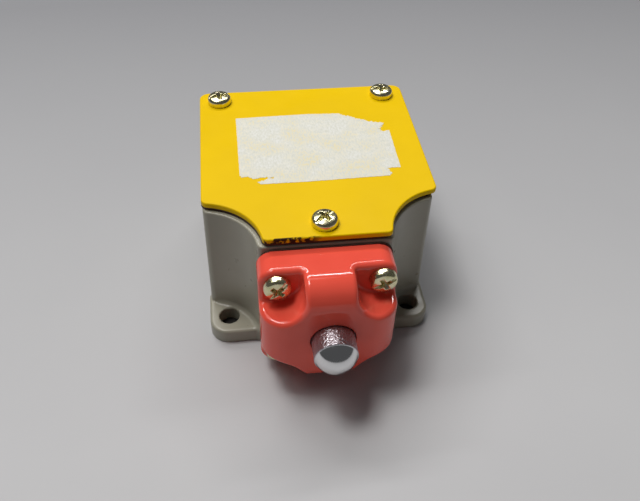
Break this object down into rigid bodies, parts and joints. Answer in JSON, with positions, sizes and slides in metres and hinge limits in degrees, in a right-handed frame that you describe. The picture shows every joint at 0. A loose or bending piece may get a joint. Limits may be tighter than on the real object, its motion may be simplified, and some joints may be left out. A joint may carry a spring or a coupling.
{
  "type": "limit switch",
  "caption": "Plunger limit switch: cast housing with a screwed cover, a square operating head with a sprung domed plunger, and a contact block and cable gland inside.",
  "frame": {"origin": "midway between the two front mounting holes, on the mounting face", "axes": "+X across the switch, +Y from the operating head towards the cable entry, +Z from the mounting face to the cover; the plunger points to -Y"},
  "size_m": [0.0667, 0.1023, 0.0469],
  "materials": {
    "housing_paint": "semi-gloss warm grey paint on a fine casting",
    "cover_paint": "smooth semi-gloss yellow enamel",
    "head_paint": "thick glossy orange-red enamel",
    "gasket_rubber": "dark red-brown sheet rubber",
    "seal_rubber": "black moulded rubber",
    "zinc_steel": "yellow-passivated zinc plate",
    "plunger_steel": "ground shank and polished dome",
    "spring_steel": "drawn spring wire",
    "bright_steel": "bright nickel-plated steel",
    "bush_brass": "turned brass",
    "moulding": "dark brown thermoset moulding",
    "carrier_plastic": "cream moulded plastic",
    "clear_lid": "clear moulded lid",
    "contact_brass": "stamped brass strip",
    "contact_silver": "silver contact alloy",
    "gland_metal": "turned light alloy"
  },
  "bodies": {
    "case": {"housing": "housing_paint", "cover": "cover_paint", "cover_gasket": "gasket_rubber", "head": "head_paint", "head_gasket": "gasket_rubber", "cover_screws": "zinc_steel", "head_screws": "zinc_steel", "guide_bush": "bush_brass", "wiper_seal": "seal_rubber", "return_spring": "spring_steel", "contact_base": "moulding", "contact_lid": "clear_lid", "closed_contacts": "contact_brass", "open_contacts": "contact_brass", "fixed_tips": "contact_silver", "carrier_spring": "spring_steel", "terminal_clamps": "bright_steel", "terminal_screws": "zinc_steel", "block_screws": "zinc_steel", "block_washers": "bright_steel", "earth_screw": "zinc_steel", "earth_washer": "bright_steel", "gland_seal": "seal_rubber", "gland_washer": "bright_steel", "gland_nut": "gland_metal"},
    "plunger_unit": {"plunger": "plunger_steel", "retaining_ring": "spring_steel", "spring_seat": "bright_steel", "pin_retainer": "bush_brass", "overtravel_spring": "spring_steel"},
    "carrier_unit": {"push_pin": "bright_steel", "contact_carrier": "carrier_plastic", "moving_bridges": "contact_brass", "bridge_tips": "contact_silver", "bridge_springs": "spring_steel"}
  },
  "joints": [
    {"name": "plunger_slide", "type": "slide", "parent": "case", "child": "plunger_unit", "axis": [0, 1, 0], "range_m": [0, 0.005], "stiffness_N_per_m": 1500, "springref_m": -0.004, "deforming": ["return_spring", "overtravel_spring"]},
    {"name": "contact_slide", "type": "slide", "parent": "case", "child": "carrier_unit", "axis": [0, 1, 0], "range_m": [0, 0.003], "stiffness_N_per_m": 300, "springref_m": -0.003, "deforming": ["carrier_spring"]}
  ],
  "couplings": [
    {"joint": "contact_slide", "follows": "plunger_slide", "ratio": 0.6}
  ]
}
